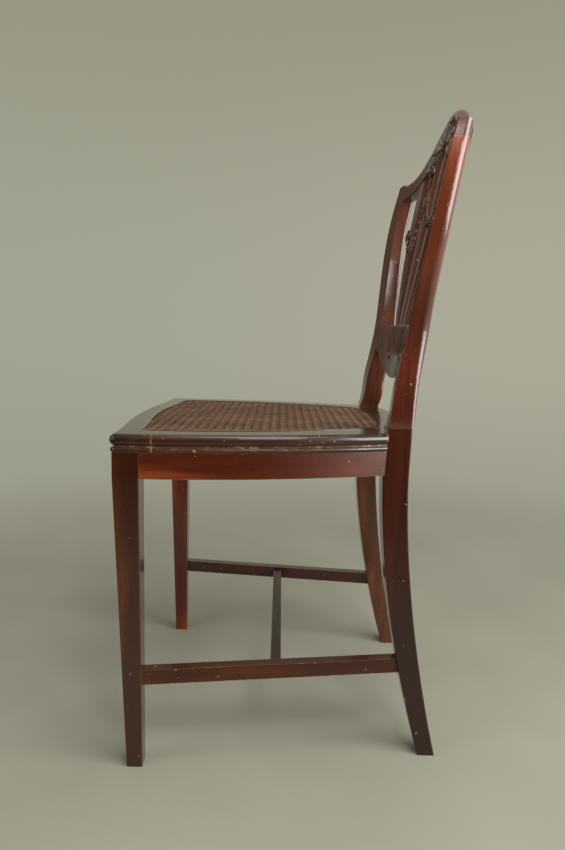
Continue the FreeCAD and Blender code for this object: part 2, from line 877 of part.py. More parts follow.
def screw(grow, length, head_at, direction):
    """A countersunk wood screw. Grown, it is the hole for one, with a pocket over its head."""
    radius = screw_shank / 2 + grow
    head = screw_head / 2 + grow
    shank = Part.makeCylinder(radius, length + grow, head_at, direction)
    whole = shank.fuse(Part.makeCone(head, radius, screw_head_height, head_at, direction))
    if grow == 0:
        return whole
    return whole.fuse(Part.makeCylinder(head, screw_pocket, head_at, direction * -1))


def block_corner(front):
    """The corner between the rails' inner faces that a block fills, on the left side."""
    if front:
        return Vec(leg_outer - rail_thickness, leg_front + rail_thickness, 0)
    back = seat_back_corner_depth - rail_back_inset - rail_thickness
    return Vec(post_outer_half_width - back_block_reach, back, 0)


def rail_inside_near(point, direction):
    """Where a level line from a point first meets the inner faces of the rails."""
    room = rail_face(rail_thickness)
    ray = line(point, point + direction * seat_front_half_width)
    return max((vertex.Point for vertex in ray.common(room).Vertexes), key=lambda p: (p - point).Length)


def corner_block(front):
    """A glue block across a corner of the rails, notched round the leg or post."""
    corner = block_corner(front)
    inward = 1 if front else -1
    far = block_leg * inward
    points = [corner + Vec(block_leg, -far, 0), corner + Vec(-block_leg, -far, 0),
              corner + Vec(-block_leg, block_tip * inward, 0), corner + Vec(-block_tip, far, 0),
              corner + Vec(block_leg, far, 0)]
    block = prism(polygon_face(points), frame_bottom - curved_gap - block_height, block_height)
    block = block.common(prism(rail_face(rail_thickness + curved_gap), rail_bottom, rail_height))
    if front:
        size = leg_top_size + curved_gap
        block = block.cut(box(leg_outer - size, leg_outer, leg_front, leg_front + size, 0, seat_height))
    else:
        edge = post_outer_half_width - post_width - curved_gap
        far = seat_front_half_width
        block = block.cut(box(edge, far, post_front_depth - curved_gap, far, 0, seat_height))
    block = max(block.Solids, key=lambda solid: solid.Volume)
    return block.cut(block_screw_solids(hole_gap)).cut(frame_screw_solids(hole_gap))


def block_screw_solids(grow):
    """Two level screws through each block, one into each rail."""
    level = Vec(0, 0, frame_bottom - curved_gap - block_height / 2)
    offset = block_leg * block_screw_share
    left = []
    for front in (True, False):
        inward = 1 if front else -1
        corner = block_corner(front)
        to_side = (corner + Vec(0, offset * inward, 0), Vec(1, 0, 0))
        to_end = (corner + Vec(-offset, 0, 0), Vec(0, -inward, 0))
        for beside, direction in (to_side, to_end):
            face = rail_inside_near(beside - direction * block_leg, direction)
            head = face - direction * (block_screw_length - block_screw_bite) + level
            left.append(screw(grow, block_screw_length, head, direction))
    return both_sides(left)


def frame_screw_solids(grow):
    """One upright screw through each block into the seat frame."""
    bottom = frame_bottom - curved_gap - block_height
    left = []
    for front, share in ((True, front_frame_screw_share), (False, back_frame_screw_share)):
        inward = 1 if front else -1
        offset = block_leg * share
        head = block_corner(front) + Vec(-offset, offset * inward, bottom)
        left.append(screw(grow, frame_screw_length, head, UP))
    return both_sides(left)


def build():
    """Every node of the chair, by name."""
    leg = front_leg_blank()
    stile = stile_blank()
    post = rear_leg().fuse(seat_block()).fuse(stile).cut(above(ear_joint())).fuse(base_lug())
    post = post.removeSplitter()
    stretcher = side_stretcher(leg, post)
    mortise = stretcher_tenons(glue_gap, mortise_room)
    leg_cut = leg.cut(front_rail_tenon(glue_gap, mortise_room)).cut(mortise)
    leg_cut = leg_cut.cut(side_rail_front_tenon(glue_gap, mortise_room))
    post_cut = post.cut(side_rail_back_tenon(glue_gap, mortise_room)).cut(mortise)
    post_cut = post_cut.cut(back_rail_tenon(glue_gap, mortise_room))
    nodes = {}
    nodes["front_leg_left"] = leg_cut
    nodes["front_leg_right"] = mirrored(leg_cut)
    nodes["rear_post_left"] = post_cut
    nodes["rear_post_right"] = mirrored(post_cut)
    nodes["side_stretcher_left"] = stretcher
    nodes["side_stretcher_right"] = mirrored(stretcher)
    nodes["medial_stretcher"] = medial_stretcher()
    nodes["crest_rail"] = crest_rail(stile)
    nodes["shield_base"] = shield_base()
    for name, share in rib_shares.items():
        nodes[name] = rib(share)
    nodes.update(rails())
    nodes.update(seat_frame_members())
    nodes["cane_panel"] = cane_panel()
    nodes["cane_spline"] = cane_spline()
    for front, word in ((True, "front"), (False, "back")):
        block = corner_block(front)
        nodes["corner_block_" + word + "_left"] = block
        nodes["corner_block_" + word + "_right"] = mirrored(block)
    nodes["corner_block_screws"] = block_screw_solids(0)
    nodes["seat_frame_screws"] = frame_screw_solids(0)
    nodes["seat_frame_dowels"] = dowel_solids(0)
    return nodes


def export(nodes):
    """Write each node with the origin on the floor, midway between front and back."""
    os.makedirs("parts", exist_ok=True)
    boxes = [shape.optimalBoundingBox(False) for shape in nodes.values()]
    front = min(b.YMin for b in boxes)
    back = max(b.YMax for b in boxes)
    shift = -(front + back) / 2
    print("moved back by", round(shift, 4))
    print("depth", round(back - front, 3))
    print("height", round(max(b.ZMax for b in boxes), 3))
    print("width", round(max(b.XMax for b in boxes) * 2, 3))
    for name, shape in nodes.items():
        solids = shape.Solids
        piece = solids[0] if len(solids) == 1 else Part.makeCompound(solids)
        piece.translated(Vec(0, shift, 0)).exportStep("parts/" + name + ".step")
        print(name, len(solids), piece.isValid(), round(sum(s.Volume for s in solids) / 1000, 2))


export(build())
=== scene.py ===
# %% [markdown]
# # A shield back chair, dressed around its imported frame
# The wooden pieces of the chair come from CAD at their real size. This lesson gives them their finish,
# weaves the cane seat, lays the carving on the back, and sets up the floor, the lights and the camera.
# Loading the frame comes first, because everything below is fitted to its pieces.

# %% Load the frame
import math

import bpy
import numpy as np
from mathutils import Matrix, Vector
from mathutils.bvhtree import BVHTree


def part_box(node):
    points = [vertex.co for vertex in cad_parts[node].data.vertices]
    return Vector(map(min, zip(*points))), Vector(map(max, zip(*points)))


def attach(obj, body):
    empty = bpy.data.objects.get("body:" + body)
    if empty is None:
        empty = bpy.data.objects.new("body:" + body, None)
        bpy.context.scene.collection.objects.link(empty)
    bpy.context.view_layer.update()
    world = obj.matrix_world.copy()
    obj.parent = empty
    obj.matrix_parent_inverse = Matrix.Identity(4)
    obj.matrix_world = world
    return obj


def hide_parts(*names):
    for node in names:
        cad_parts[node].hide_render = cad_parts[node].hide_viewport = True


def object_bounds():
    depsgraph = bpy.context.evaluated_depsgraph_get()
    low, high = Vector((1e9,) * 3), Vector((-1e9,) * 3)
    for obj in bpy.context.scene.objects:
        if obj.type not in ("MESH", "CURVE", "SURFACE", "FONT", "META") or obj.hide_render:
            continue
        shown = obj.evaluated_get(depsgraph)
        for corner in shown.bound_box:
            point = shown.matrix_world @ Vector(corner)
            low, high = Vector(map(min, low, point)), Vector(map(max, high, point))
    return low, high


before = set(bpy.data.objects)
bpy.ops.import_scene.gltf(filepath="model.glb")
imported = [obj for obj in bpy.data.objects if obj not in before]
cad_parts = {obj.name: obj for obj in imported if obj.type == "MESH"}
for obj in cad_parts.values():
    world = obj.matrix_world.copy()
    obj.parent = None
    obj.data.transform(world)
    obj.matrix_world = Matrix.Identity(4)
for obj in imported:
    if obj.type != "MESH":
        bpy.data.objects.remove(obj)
cad_low, cad_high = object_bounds()
seat_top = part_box("seat_frame_left")[1].z
print("nodes", len(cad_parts), "seat", round(seat_top, 4), "height", round(cad_high.z, 4))

# %% [markdown]
# ## The camera
# The photograph is taken from the chair's left side, slightly above the seat, with the camera turned a
# little down. Such a view is set by hand until lines fall on lines, or solved from the edges of the legs
# and the seat. It was solved here, and the result is a place, three angles and a focal length.

# %% Camera
MM = 0.001
PICTURE_HEIGHT = 850
FOCAL_PIXELS = 672.0
SENSOR_HEIGHT = 36.0
CAMERA_SIDE = 1094.45 * MM
CAMERA_BEHIND_FRONT = 231.27 * MM
CAMERA_HEIGHT = 599.8 * MM
# Radians: away from straight across the chair, below level, and about the line of sight
CAMERA_TURN = -0.00334
CAMERA_DOWN = 0.13307
CAMERA_ROLL = 0.02271


def camera_axes():
    """Right, up and forward: a level view along -X, turned, tipped down, then rolled about its own line."""
    ahead = Vector((-math.cos(CAMERA_TURN), -math.sin(CAMERA_TURN), 0))
    right = Vector((-math.sin(CAMERA_TURN), math.cos(CAMERA_TURN), 0))
    above = Vector((0, 0, 1))
    up = above * math.cos(CAMERA_DOWN) + ahead * math.sin(CAMERA_DOWN)
    forward = ahead * math.cos(CAMERA_DOWN) - above * math.sin(CAMERA_DOWN)
    rolled_right = right * math.cos(CAMERA_ROLL) + up * math.sin(CAMERA_ROLL)
    rolled_up = up * math.cos(CAMERA_ROLL) - right * math.sin(CAMERA_ROLL)
    return rolled_right, rolled_up, forward


def make_camera():
    """A camera with the photograph's focal length, measured against its height."""
    data = bpy.data.cameras.new("camera")
    data.sensor_fit = "VERTICAL"
    data.sensor_height = SENSOR_HEIGHT
    data.lens = SENSOR_HEIGHT * FOCAL_PIXELS / PICTURE_HEIGHT
    camera = bpy.data.objects.new("camera", data)
    right, up, forward = camera_axes()
    turn = Matrix((right, up, -forward)).transposed().to_4x4()
    place = Vector((CAMERA_SIDE, cad_low.y + CAMERA_BEHIND_FRONT, CAMERA_HEIGHT))
    camera.matrix_world = Matrix.Translation(place) @ turn
    bpy.context.scene.collection.objects.link(camera)
    bpy.context.scene.camera = camera
    return camera


camera = make_camera()
bpy.context.scene.view_settings.view_transform = "Standard"
print("camera lens", round(camera.data.lens, 2), "at", [round(c, 3) for c in camera.location])

# %% [markdown]
# ## Helpers for materials
# A material here is a small tree of nodes. It could be wired by hand in the shader editor, but a script
# can be read and repeated. One helper turns a colour as a painter names it (sRGB hex) into the linear
# values that a shader wants, one adds a node with its values and links, and the others are the few sums,
# ramps and mixes that the finishes need.

# %% Node helpers
# A Mix node keeps its colour sockets at these numbers
MIX_FIRST = 6
MIX_SECOND = 7
MIX_RESULT = 2


def linear(hex_colour):
    """An sRGB hex colour as linear RGBA: ((c + 0.055) / 1.055) ^ 2.4 for each channel, c / 12.92 if dark."""
    channels = [int(hex_colour[i:i + 2], 16) / 255 for i in (1, 3, 5)]
    curved = [c / 12.92 if c <= 0.04045 else ((c + 0.055) / 1.055) ** 2.4 for c in channels]
    return (*curved, 1.0)


def add(tree, kind, inputs=None, **settings):
    """A new node of a kind. Settings are its own values, and inputs are constants or other outputs."""
    node = tree.nodes.new("ShaderNode" + kind)
    for name, value in settings.items():
        setattr(node, name, value)
    for key, value in (inputs or {}).items():
        if isinstance(value, bpy.types.NodeSocket):
            tree.links.new(value, node.inputs[key])
        else:
            node.inputs[key].default_value = value
    return node


def new_material(name):
    """A material with an empty tree of nodes."""
    material = bpy.data.materials.new(name)
    material.use_nodes = True
    material.node_tree.nodes.clear()
    return material, material.node_tree


def ramp(tree, value, stops):
    """A colour ramp over a value, from a list of pairs of position and hex colour."""
    node = add(tree, "ValToRGB", {"Fac": value})
    elements = node.color_ramp.elements
    while len(elements) < len(stops):
        elements.new(1.0)
    for element, (place, colour) in zip(elements, stops):
        element.position = place
        element.color = linear(colour)
    return node.outputs["Color"]


def smooth_step(tree, value, start, end):
    """0 up to start, 1 from end on, and a smooth rise between them. End may be the lower of the two."""
    node = add(tree, "MapRange", {"Value": value, "From Min": start, "From Max": end},
               interpolation_type="SMOOTHSTEP")
    return node.outputs["Result"]


def mix_colour(tree, share, first, second, blend="MIX"):
    """Two colours mixed by a share, or blended as named."""
    colours = {"Factor": share, MIX_FIRST: first, MIX_SECOND: second}
    return add(tree, "Mix", colours, data_type="RGBA", blend_type=blend).outputs[MIX_RESULT]


def calculate(tree, operation, first, second):
    """One sum on two values, such as ADD, MULTIPLY or MAXIMUM."""
    return add(tree, "Math", {0: first, 1: second}, operation=operation).outputs["Value"]


def times(tree, first, second):
    """The product of two values."""
    return calculate(tree, "MULTIPLY", first, second)


def weighted_sum(tree, first, *others):
    """The sum of some values, each given with its weight."""
    total = times(tree, *first)
    for value, weight in others:
        total = calculate(tree, "ADD", total, times(tree, value, weight))
    return total


def bump(tree, height, strength, depth):
    """The normal of a surface whose height goes up and down by a depth in millimetres."""
    relief = {"Height": height, "Strength": strength, "Distance": depth * MM}
    return add(tree, "Bump", relief).outputs["Normal"]


print("a mid grey in linear light", round(linear("#808080")[0], 3))

# %% [markdown]
# ## Grain
# Mahogany shows long streaks, short dark pores and broad patches where the stain took more, and all of
# them run with the grain. A photograph of wood would be quick, but it repeats and it slides on curved
# legs. Noise that is drawn out along the grain gives every piece its own figure, so that is the way
# taken. The noise reads Object coordinates, so it stays on the piece.

# %% Noise along the grain
GRAIN_TURNS = {"upright": (0, 0, 0), "across": (0, math.pi / 2, 0), "lengthwise": (math.pi / 2, 0, 0)}
SEED_SHIFTS = (1.0, 0.7, 1.3)
# Each layer has its stretch along the grain, its distance from the piece's seed, and the noise's values
WOOD_NOISES = {
    "streaks": (22, 0, {"Scale": 95.0, "Detail": 5.0, "Roughness": 0.62, "Distortion": 0.25}),
    "patches": (3.5, 4, {"Scale": 9.0, "Detail": 2.0}),
    "pores": (14, 9, {"Scale": 900.0, "Detail": 1.0}),
    "knocks": (2.2, 2, {"Scale": 150.0, "Detail": 4.0, "Roughness": 0.7}),
    "flecks": (1.6, 6, {"Scale": 210.0, "Detail": 2.0}),
}


def grain_coordinates(tree, direction, stretch, seed):
    """Object coordinates turned so that the grain runs along Z, and squeezed along it by stretch."""
    place = add(tree, "TexCoord").outputs["Object"]
    shift = [seed * share for share in SEED_SHIFTS]
    turned = add(tree, "Mapping", {"Vector": place, "Rotation": GRAIN_TURNS[direction], "Location": shift})
    squeeze = {"Vector": turned.outputs["Vector"], "Scale": (1, 1, 1 / stretch)}
    return add(tree, "Mapping", squeeze).outputs["Vector"]


def grain_noise(tree, direction, stretch, seed, values):
    """Noise that is drawn out along the grain by stretch."""
    place = grain_coordinates(tree, direction, stretch, seed)
    return add(tree, "TexNoise", {"Vector": place, **values}).outputs["Fac"]


def wood_noises(tree, direction, seed):
    """All layers of noise for one piece of wood, by name."""
    return {name: grain_noise(tree, direction, stretch, seed + apart, values)
            for name, (stretch, apart, values) in WOOD_NOISES.items()}


print("layers of noise in the wood", len(WOOD_NOISES))

# %% [markdown]
# ## Stain
# The wood was stained red-brown, and the stain lies darker in the pores and in the patches that drank
# more of it. The near rear post is darker below the seat, partly by stain and partly by painted shade, and
# its top is a little paler by wear and painted light. One ramp from a deep to a light tone does for all
# pieces, and three sets of tones keep them from looking cut from one board.

# %% Stained wood
WOOD_TONES = {
    "red": ("#3a1408", "#5c250e", "#843f16"),
    "brown": ("#2a1108", "#43200f", "#5f2e15"),
    "dark": ("#1b0d07", "#2b170c", "#3b2112"),
}
TONE_STOPS = (0.3, 0.5, 0.72)
STREAK_WEIGHT = 0.62
PATCH_WEIGHT = 0.38
BLOTCH_RANGE = (0.56, 0.42)
BLOTCH_STRENGTH = 0.8
PORE_COLOUR = "#120704"
PORE_RANGE = (0.62, 0.74)
PORE_STRENGTH = 0.55
# Painted shade with some stain: the near post below the seat is multiplied by this colour
LEG_STAIN_AND_PAINTED_SHADE = "#85705f"
# Heights above the floor in metres: from the leg's tone, stain and painted shade, to the back's, and where
# the top is paler by wear and painted light
LEG_TO_BACK = (0.42, 0.72)
TOP_WEAR_AND_PAINTED_LIGHT = (0.6, 0.8)
TOP_WEAR_AND_PAINTED_LIGHT_STRENGTH = 0.2


def stained(tree, noise, tone):
    """Streaks and patches pick a tone between deep and light, and low patches are stained deep."""
    deep = WOOD_TONES[tone][0]
    figure = weighted_sum(tree, (noise["streaks"], STREAK_WEIGHT), (noise["patches"], PATCH_WEIGHT))
    wood = ramp(tree, figure, list(zip(TONE_STOPS, WOOD_TONES[tone])))
    blotch = times(tree, smooth_step(tree, noise["patches"], *BLOTCH_RANGE), BLOTCH_STRENGTH)
    return mix_colour(tree, blotch, wood, linear(deep))


def painted_shade_and_light_by_height(tree, wood, tone):
    """Below the seat: darker by stain and painted shade. The stile's top: lighter by wear and painted light.
    """
    light = WOOD_TONES[tone][2]
    above = add(tree, "SeparateXYZ", {0: add(tree, "TexCoord").outputs["Object"]}).outputs["Z"]
    # Painted shade with stain at the bottom, and painted light with wear at the top
    bottom = mix_colour(tree, 1.0, wood, linear(LEG_STAIN_AND_PAINTED_SHADE), "MULTIPLY")
    rubbed = times(tree, smooth_step(tree, above, *TOP_WEAR_AND_PAINTED_LIGHT), TOP_WEAR_AND_PAINTED_LIGHT_STRENGTH)
    top = mix_colour(tree, rubbed, wood, linear(light))
    return mix_colour(tree, smooth_step(tree, above, *LEG_TO_BACK), bottom, top)


def with_pores(tree, noise, wood):
    """Short dark pores over the wood's own colour."""
    share = times(tree, smooth_step(tree, noise["pores"], *PORE_RANGE), PORE_STRENGTH)
    return mix_colour(tree, share, wood, linear(PORE_COLOUR))


print("sets of wood tones:", ", ".join(WOOD_TONES))

# %% [markdown]
# ## Wear
# Hands and shoes have made the edges paler and knocked chips out of them, and small flecks of the
# finish are gone elsewhere. The paler edges are also a painted highlight, the thin light line that
# varnish shows along an edge. Wear could be painted on each piece by hand. The Bevel node finds the
# edges by itself instead: where its rounded normal leaves the flat one, the surface turns sharply.

# %% Paler edges by wear and painted highlight, chips and flecks
CHIP_COLOUR = "#b48a66"
CHIP_RISE = 0.08
# Edges are paler partly by wear and partly by a painted highlight along them
EDGE_WEAR_AND_HIGHLIGHT_COLOUR = "#8a5536"
EDGE_WEAR_AND_HIGHLIGHT_STRENGTH = 0.4
EDGE_SAMPLES = 4
EDGE_RANGE = (0.01, 0.12)
FLECK_RISE = 0.03
FLECK_STRENGTH = 0.8


def edge_share(tree, radius):
    """How far the surface turns within a radius in millimetres: 0 on flats and 1 on sharp edges."""
    rounded = add(tree, "Bevel", {"Radius": radius * MM}, samples=EDGE_SAMPLES).outputs["Normal"]
    flat = add(tree, "NewGeometry").outputs["Normal"]
    agreement = add(tree, "VectorMath", {0: rounded, 1: flat}, operation="DOT_PRODUCT").outputs["Value"]
    return smooth_step(tree, calculate(tree, "SUBTRACT", 1.0, agreement), *EDGE_RANGE)


def wear_and_edge_highlight(tree, noise, wood, chips=0.6, edge_radius=1.4, chip_start=0.56, fleck_start=0.735):
    """Edges paler by wear and painted highlight, and bare chips and flecks, each where its noise is above
    its start.
    """
    edges = edge_share(tree, edge_radius)
    # Painted highlight and wear: every edge is a little paler
    rubbed = mix_colour(tree, times(tree, edges, EDGE_WEAR_AND_HIGHLIGHT_STRENGTH), wood, linear(EDGE_WEAR_AND_HIGHLIGHT_COLOUR))
    knocked = smooth_step(tree, noise["knocks"], chip_start, chip_start + CHIP_RISE)
    chipped = times(tree, times(tree, edges, knocked), chips)
    flecked = smooth_step(tree, noise["flecks"], fleck_start, fleck_start + FLECK_RISE)
    bare = calculate(tree, "MAXIMUM", chipped, times(tree, flecked, FLECK_STRENGTH))
    return mix_colour(tree, bare, rubbed, linear(CHIP_COLOUR))


print("an edge counts as rubbed from", EDGE_RANGE[0], "and in full from", EDGE_RANGE[1])

# %% [markdown]
# ## Varnish
# Old varnish lies on the wood as a clear coat. It mirrors the room sharply and ripples over broad
# patches, while the wood under it is duller and follows its pores. One glossy layer would give only one
# of the two, so the shader's coat is the varnish and its base is the wood.

# %% Mahogany under varnish
FULL_GLOSS = 0.8
PORE_HEIGHT = -0.5
STREAK_HEIGHT = 0.4


def varnished(tree, noise, colour, gloss):
    """Wood that is duller where the patches are high, under a coat of varnish."""
    rough = add(tree, "MapRange", {"Value": noise["patches"], "From Min": 0.3, "From Max": 0.7,
                                   "To Min": 0.26, "To Max": 0.38}).outputs["Result"]
    height = weighted_sum(tree, (noise["pores"], PORE_HEIGHT), (noise["streaks"], STREAK_HEIGHT))
    wood_normal = bump(tree, height, strength=0.12, depth=0.3)
    coat_normal = bump(tree, noise["patches"], strength=0.06, depth=2)
    shader = add(tree, "BsdfPrincipled", {"Base Color": colour, "Roughness": rough, "Normal": wood_normal,
                                          "Coat Normal": coat_normal, "Coat Weight": gloss,
                                          "Coat Roughness": 0.1, "Coat IOR": 1.5, "IOR": 1.45,
                                          "Specular IOR Level": 0.3})
    return shader.outputs["BSDF"]


def mahogany(name, direction, tone, seed, gloss=FULL_GLOSS, painted_shading=False, **wear):
    """Stained wood with grain, wear and painted edge highlight under varnish; wear goes to
    wear_and_edge_highlight.
    """
    material, tree = new_material(name)
    noise = wood_noises(tree, direction, seed)
    wood = stained(tree, noise, tone)
    # The near rear post gets painted shade below the seat and painted light at its top
    if painted_shading:
        wood = painted_shade_and_light_by_height(tree, wood, tone)
    colour = wear_and_edge_highlight(tree, noise, with_pores(tree, noise, wood), **wear)
    add(tree, "OutputMaterial", {"Surface": varnished(tree, noise, colour, gloss)})
    return material


print("weight of the varnish", FULL_GLOSS)

# %% [markdown]
# ## A run of grain for each wooden piece
# A joiner cuts legs and posts with the grain upright, and rails with the grain along them. One material
# for all would run through the joints as if the chair were one block, so each piece has its own, with
# its own direction, tone and seed. The seat frame takes most knocks, and a few pieces are duller.

# %% Dress the wooden pieces
SEED_STEP = 1.7
SATIN_GLOSS = 0.3
SATIN_PIECES = ("shield_base", "medial_stretcher", "side_stretcher_left")
USUAL_WEAR = {"chip_start": 0.54}
# The seat frame's wider edge radius widens its paler edges, which are wear and painted highlight
SEAT_EDGE_WEAR_AND_HIGHLIGHT = {"chips": 0.8, "edge_radius": 3.2, "chip_start": 0.52, "fleck_start": 0.7}
wood_plan = {
    "front_leg_left": ("upright", "brown"), "front_leg_right": ("upright", "red"),
    "rear_post_left": ("upright", "red"), "rear_post_right": ("upright", "brown"),
    "side_stretcher_left": ("lengthwise", "brown"), "side_stretcher_right": ("lengthwise", "brown"),
    "medial_stretcher": ("across", "dark"), "crest_rail": ("across", "brown"),
    "shield_base": ("upright", "brown"), "rib_outer_right": ("upright", "brown"),
    "rib_inner_right": ("upright", "brown"), "rib_centre": ("upright", "brown"),
    "rib_inner_left": ("upright", "brown"), "rib_outer_left": ("upright", "brown"),
    "front_rail": ("across", "red"), "back_rail": ("across", "brown"),
    "side_rail_left": ("lengthwise", "red"), "side_rail_right": ("lengthwise", "red"),
    "seat_frame_front": ("across", "dark"), "seat_frame_back": ("across", "dark"),
    "seat_frame_left": ("lengthwise", "dark"), "seat_frame_right": ("lengthwise", "dark"),
}


def dress(node, material):
    """Puts one material in every slot of a CAD node."""
    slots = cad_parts[node].data.materials
    if len(slots) == 0:
        slots.append(material)
    for index in range(len(slots)):
        slots[index] = material


for number, (node, (direction, tone)) in enumerate(wood_plan.items()):
    wear = SEAT_EDGE_WEAR_AND_HIGHLIGHT if node.startswith("seat_frame") else USUAL_WEAR
    gloss = SATIN_GLOSS if node in SATIN_PIECES else FULL_GLOSS
    # Only the near rear post gets the painted shade and painted light by height
    dress(node, mahogany("mahogany_" + node, direction, tone, number * SEED_STEP, gloss,
                         painted_shading=node == "rear_post_left", **wear))
print("wooden pieces dressed", len(wood_plan))

# %% [markdown]
# ## The hidden pieces
# Under the seat the corner blocks and dowels are bare sawn hardwood, gone grey-brown, and the screws are
# dull steel. They could stay plain, since they hardly show, but a few lines give them simple versions of
# the same ideas: stretched noise for saw marks, and fine noise on steel.

# %% Bare wood, steel and the dark spline
def bare_wood(name):
    """Unstained hardwood with saw marks across the grain."""
    material, tree = new_material(name)
    grain = grain_noise(tree, "across", stretch=12, seed=3, values={"Scale": 140.0, "Detail": 4.0})
    saw = grain_noise(tree, "lengthwise", stretch=30, seed=8, values={"Scale": 500.0, "Detail": 1.0})
    colour = ramp(tree, grain, [(0.3, "#6b4a2e"), (0.5, "#8a6541"), (0.7, "#a37e55")])
    shader = add(tree, "BsdfPrincipled", {"Base Color": colour, "Roughness": 0.78,
                                          "Normal": bump(tree, saw, strength=0.35, depth=0.4)})
    add(tree, "OutputMaterial", {"Surface": shader.outputs["BSDF"]})
    return material


def dull_steel(name):
    """Old screw steel, with fine scratches and a little brown."""
    material, tree = new_material(name)
    place = add(tree, "TexCoord").outputs["Object"]
    stain = add(tree, "TexNoise", {"Vector": place, "Scale": 260.0, "Detail": 3.0}).outputs["Fac"]
    colour = ramp(tree, stain, [(0.4, "#5a5148"), (0.6, "#8d8a84")])
    rough = add(tree, "MapRange", {"Value": stain, "To Min": 0.35, "To Max": 0.6}).outputs["Result"]
    shader = add(tree, "BsdfPrincipled", {"Base Color": colour, "Roughness": rough, "Metallic": 1.0})
    add(tree, "OutputMaterial", {"Surface": shader.outputs["BSDF"]})
    return material


sawn_hardwood = bare_wood("sawn_hardwood")
screw_steel = dull_steel("screw_steel")
sawn_nodes = [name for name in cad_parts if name.startswith("corner_block_") and "screws" not in name]
sawn_nodes.append("seat_frame_dowels")
screw_nodes = ["corner_block_screws", "seat_frame_screws"]
for node in sawn_nodes:
    dress(node, sawn_hardwood)
for node in screw_nodes:
    dress(node, screw_steel)
dress("cane_spline", mahogany("spline_reed", "across", "dark", seed=40.0, chips=0.2))
print("sawn nodes", len(sawn_nodes), "nodes of screws", len(screw_nodes), "and the spline")

# %% [markdown]
# ## Meshes from arrays
# Every new piece is a grid of points worked out with numpy, joined by four-sided faces: a small section
# carried along a path. Such forms could be modelled with curves and a bevel, but arrays let each ring
# have its own width and height. One helper turns arrays into an object that rides on the chair.

# %% Mesh helpers
def make_piece(name, points, faces, material, tones=None):
    """A smooth mesh object at the origin from arrays of points and faces, with a tone per point if given."""
    mesh = bpy.data.meshes.new(name)
    mesh.from_pydata(np.asarray(points).tolist(), [], faces)
    mesh.polygons.foreach_set("use_smooth", np.full(len(mesh.polygons), True))
    if tones is not None:
        values = mesh.attributes.new("tone", "FLOAT", "POINT")
        values.data.foreach_set("value", np.asarray(tones, np.float32))
    mesh.materials.append(material)
    mesh.update()
    piece = bpy.data.objects.new(name, mesh)
    bpy.context.scene.collection.objects.link(piece)
    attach(piece, "root")
    return piece


def tube_faces(rows, columns, first=0):
    """Faces between the rings of a section carried along a path: columns points a ring, closed round it."""
    ring = np.arange(rows - 1)[:, None] * columns + first
    side = np.arange(columns)[None, :]
    after = (side + 1) % columns
    quads = np.stack([ring + side, ring + after, ring + columns + after, ring + columns + side], axis=-1)
    return quads.reshape(-1, 4)


def joined_tubes(tubes):
    """Points and faces of many tubes: each is rings of a closed section, and gets a face over either end."""
    faces = []
    start = 0
    for rings in tubes:
        rows, columns = rings.shape[:2]
        faces.extend(tube_faces(rows, columns, start).tolist())
        faces.append(list(range(start + columns - 1, start - 1, -1)))
        last = start + (rows - 1) * columns
        faces.append(list(range(last, last + columns)))
        start += rows * columns
    points = np.concatenate([rings.reshape(-1, 3) for rings in tubes])
    return points, faces


print("a tube of 3 rings of 4 points has", len(tube_faces(3, 4)), "faces")

# %% [markdown]
# ## The opening of the seat
# The cane sheet is pressed into a groove by a spline, and its strands end there. The outline of the
# opening could be drawn again by hand. Level rays from the middle of the seat find it on the CAD piece
# itself, so the cane always fits.

# %% The opening's outline
OUTLINE_RAYS = 720
RAYS_BELOW_TOP = 1.5 * MM


def search_tree(name):
    """A tree over the faces of one CAD piece, in which rays find what they hit."""
    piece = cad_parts[name]
    points = [piece.matrix_world @ vertex.co for vertex in piece.data.vertices]
    return BVHTree.FromPolygons(points, [list(face.vertices) for face in piece.data.polygons])


panel_low, panel_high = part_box("cane_panel")
seat_middle = (panel_low + panel_high) / 2


def opening_outline():
    """The spline's inner wall as points round the middle of the seat, at even angles."""
    walls = search_tree("cane_spline")
    level = Vector((seat_middle.x, seat_middle.y, panel_high.z - RAYS_BELOW_TOP))
    angles = np.linspace(0, 2 * math.pi, OUTLINE_RAYS, endpoint=False)
    hits = [walls.ray_cast(level, Vector((math.cos(a), math.sin(a), 0)))[0] for a in angles]
    return np.array([(hit.x, hit.y) for hit in hits])


outline = opening_outline()
print("cane opening", np.round(np.ptp(outline, axis=0), 3), "m across")

# %% [markdown]
# ## The woven cane
# The seat is woven from split cane: pairs of strands front to back, pairs from side to side, and single
# strands on both diagonals, which leave eight-sided holes. A texture could fake it, but the holes must
# show the floor, so each strand is a real ribbon that rises and dips over the strands it crosses.

# %% One strand inside the opening
CANE_PITCH = 12.7 * MM
STEPS_PER_PITCH = 4
STRAND_THICK = 0.55 * MM
WEAVE_BELOW_TOP = 1.0 * MM
weave_level = panel_high.z - WEAVE_BELOW_TOP


def clip_to_outline(origin, direction):
    """The two ends of a line inside the outline, as distances along it, or None where it misses."""
    ahead = np.roll(outline, -1, axis=0)
    normal = np.array([-direction[1], direction[0]])
    side = (outline - origin) @ normal
    side_ahead = (ahead - origin) @ normal
    cross = side * side_ahead < 0
    if cross.sum() < 2:
        return None
    share = side[cross] / (side[cross] - side_ahead[cross])
    points = outline[cross] + (ahead[cross] - outline[cross]) * share[:, None]
    along = (points - origin) @ direction
    return along.min(), along.max()


